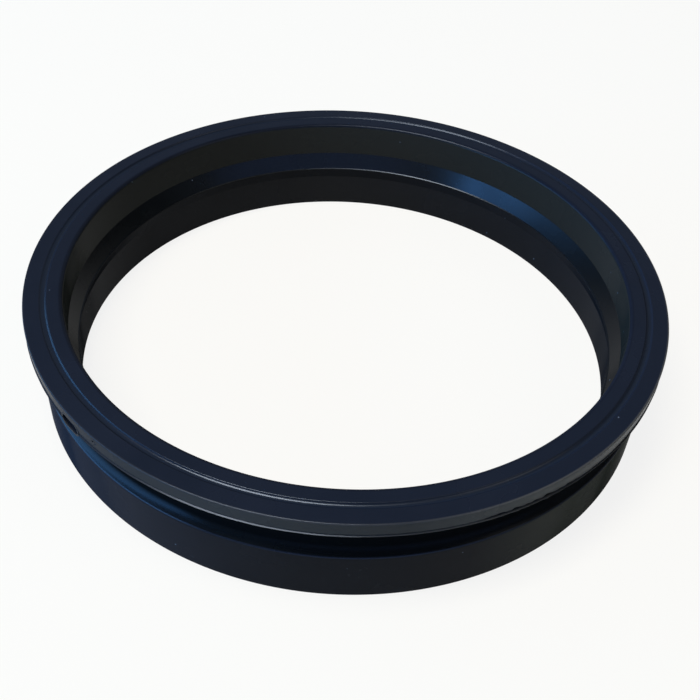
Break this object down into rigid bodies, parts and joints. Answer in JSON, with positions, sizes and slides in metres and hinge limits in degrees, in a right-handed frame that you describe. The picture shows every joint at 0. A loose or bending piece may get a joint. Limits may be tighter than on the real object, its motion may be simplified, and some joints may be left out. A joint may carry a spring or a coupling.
{
  "type": "fuel pump seal ring",
  "caption": "Moulded black rubber seal ring with a grooved flat rim, a hollow neck, a straight skirt and a bore stepped by a conical ledge and lip.",
  "frame": {"origin": "on the ring's axis, at the flat foot of the skirt", "axes": "+Z along the ring's axis, from the foot to the rim's top face"},
  "size_m": [0.13, 0.13, 0.0222],
  "materials": {
    "black_rubber": "satin moulded rubber"
  },
  "bodies": {
    "root": {"seal_ring": "black_rubber"}
  },
  "joints": []
}
